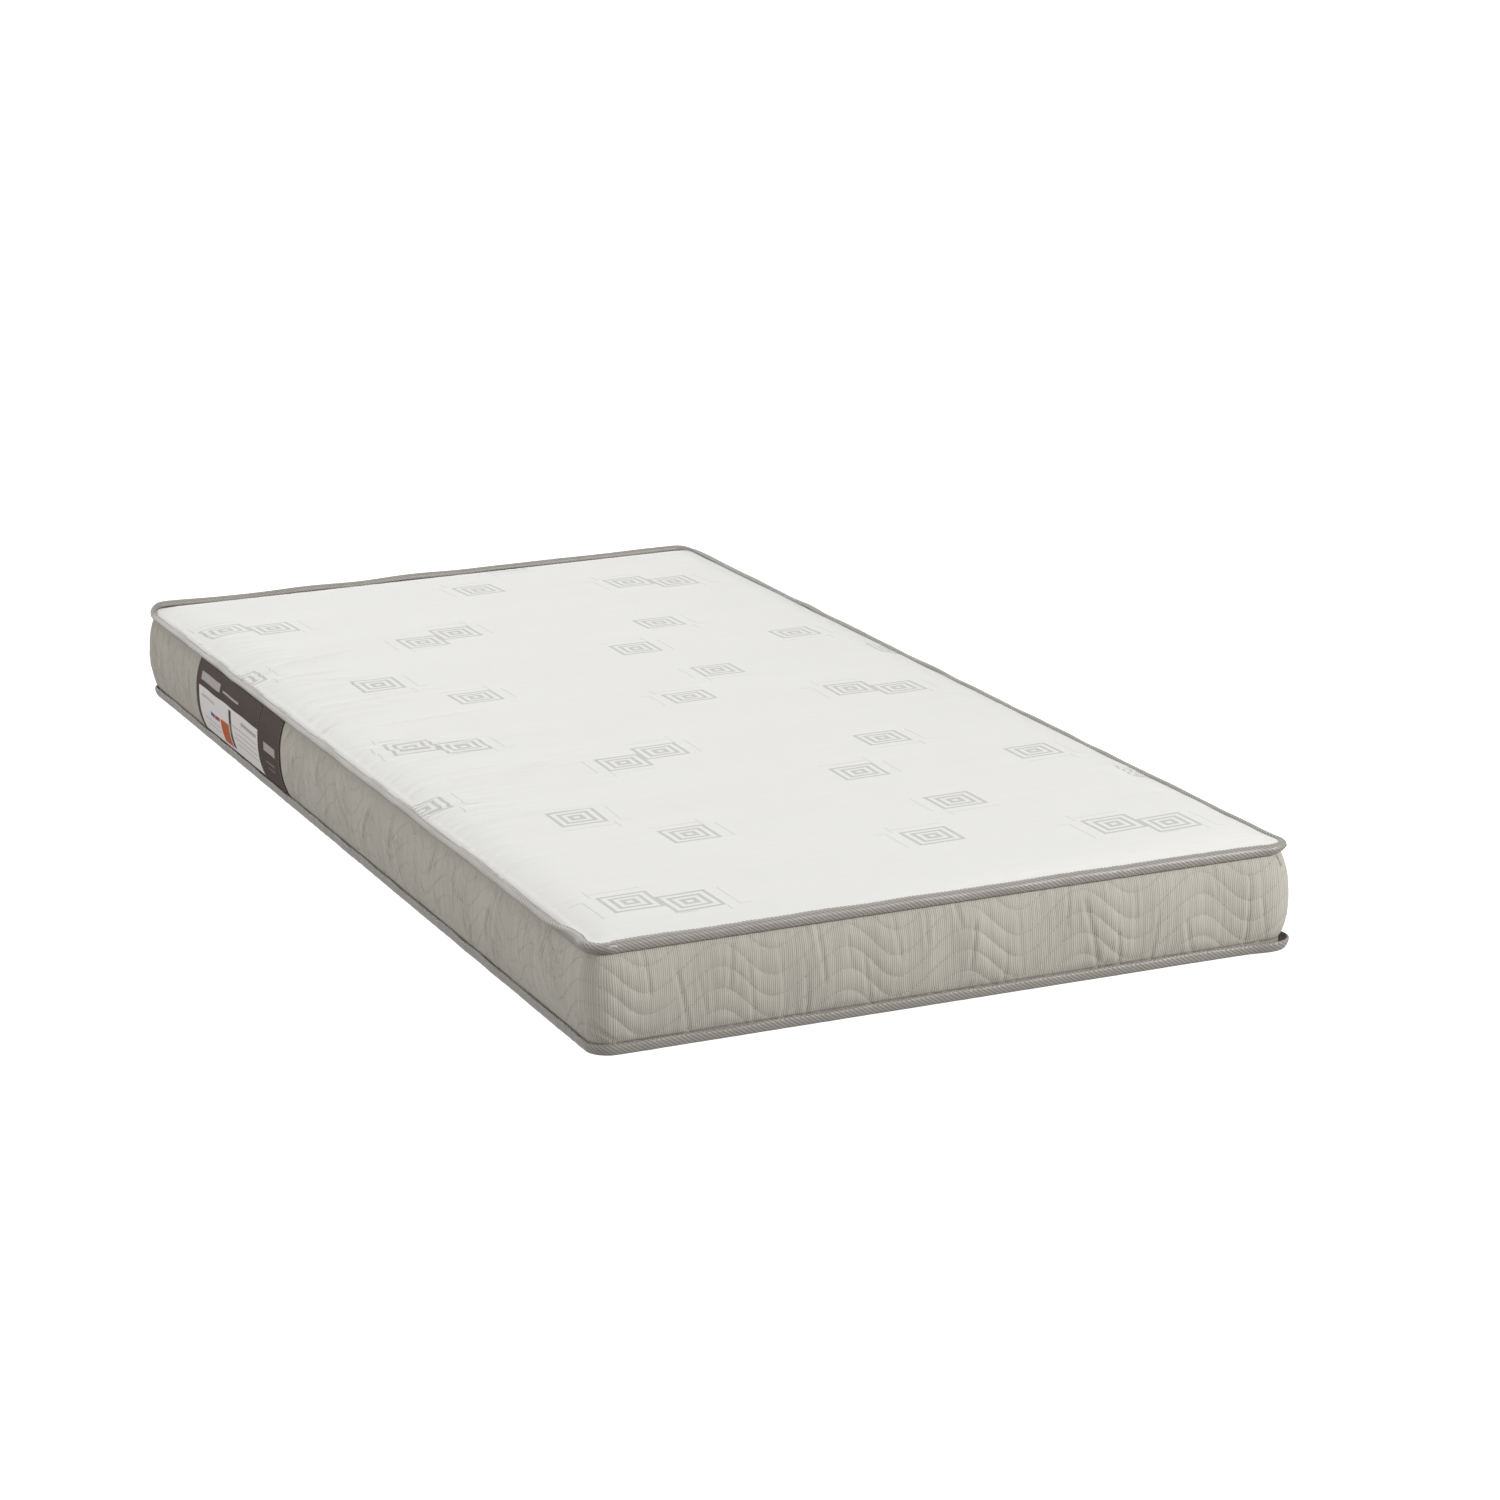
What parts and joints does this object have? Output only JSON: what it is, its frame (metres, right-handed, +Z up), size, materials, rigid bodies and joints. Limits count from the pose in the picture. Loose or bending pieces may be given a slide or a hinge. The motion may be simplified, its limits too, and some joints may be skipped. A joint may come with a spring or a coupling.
{
  "type": "foam mattress",
  "caption": "Single foam mattress with a patterned white top panel, a wave-quilted border, woven edge tapes and a sewn-on label.",
  "frame": {"origin": "on the floor under the middle of the mattress", "axes": "+X across the width, +Y along the length towards the head end, +Z up; the label is on the -X side"},
  "size_m": [0.8919, 1.891, 0.14],
  "materials": {
    "core_foam": "matt open-cell polyurethane foam",
    "border_foam": "matt thin quilting foam",
    "fibre_wadding": "soft bonded polyester fibre",
    "fibre_backing": "thin spunbond non-woven",
    "panel_satin": "white satin weave with woven grey squares",
    "panel_plain": "plain white weave",
    "border_ribbed_fabric": "finely ribbed pale olive weave, quilted in waves",
    "tape_twill": "grey woven tape with slanting twill stripes",
    "thread_white": "off-white polyester thread",
    "thread_grey": "grey polyester thread",
    "label_satin": "printed dark satin ribbon"
  },
  "bodies": {
    "root": {"foam_core": "core_foam", "top_panel_fabric": "panel_satin", "top_panel_wadding": "fibre_wadding", "bottom_panel_fabric": "panel_plain", "bottom_panel_wadding": "fibre_wadding", "border_fabric": "border_ribbed_fabric", "border_padding": "border_foam", "border_backing": "fibre_backing", "quilting_thread_low": "thread_white", "quilting_thread_middle": "thread_white", "quilting_thread_high": "thread_white", "top_tape": "tape_twill", "bottom_tape": "tape_twill", "top_tape_needle_thread": "thread_white", "top_tape_looper_thread": "thread_grey", "bottom_tape_needle_thread": "thread_white", "bottom_tape_looper_thread": "thread_grey", "border_closing_thread": "thread_white", "label_main": "label_satin", "label_end": "label_satin", "label_thread_foot": "thread_grey", "label_thread_middle": "thread_grey", "label_thread_head": "thread_grey"}
  },
  "joints": []
}
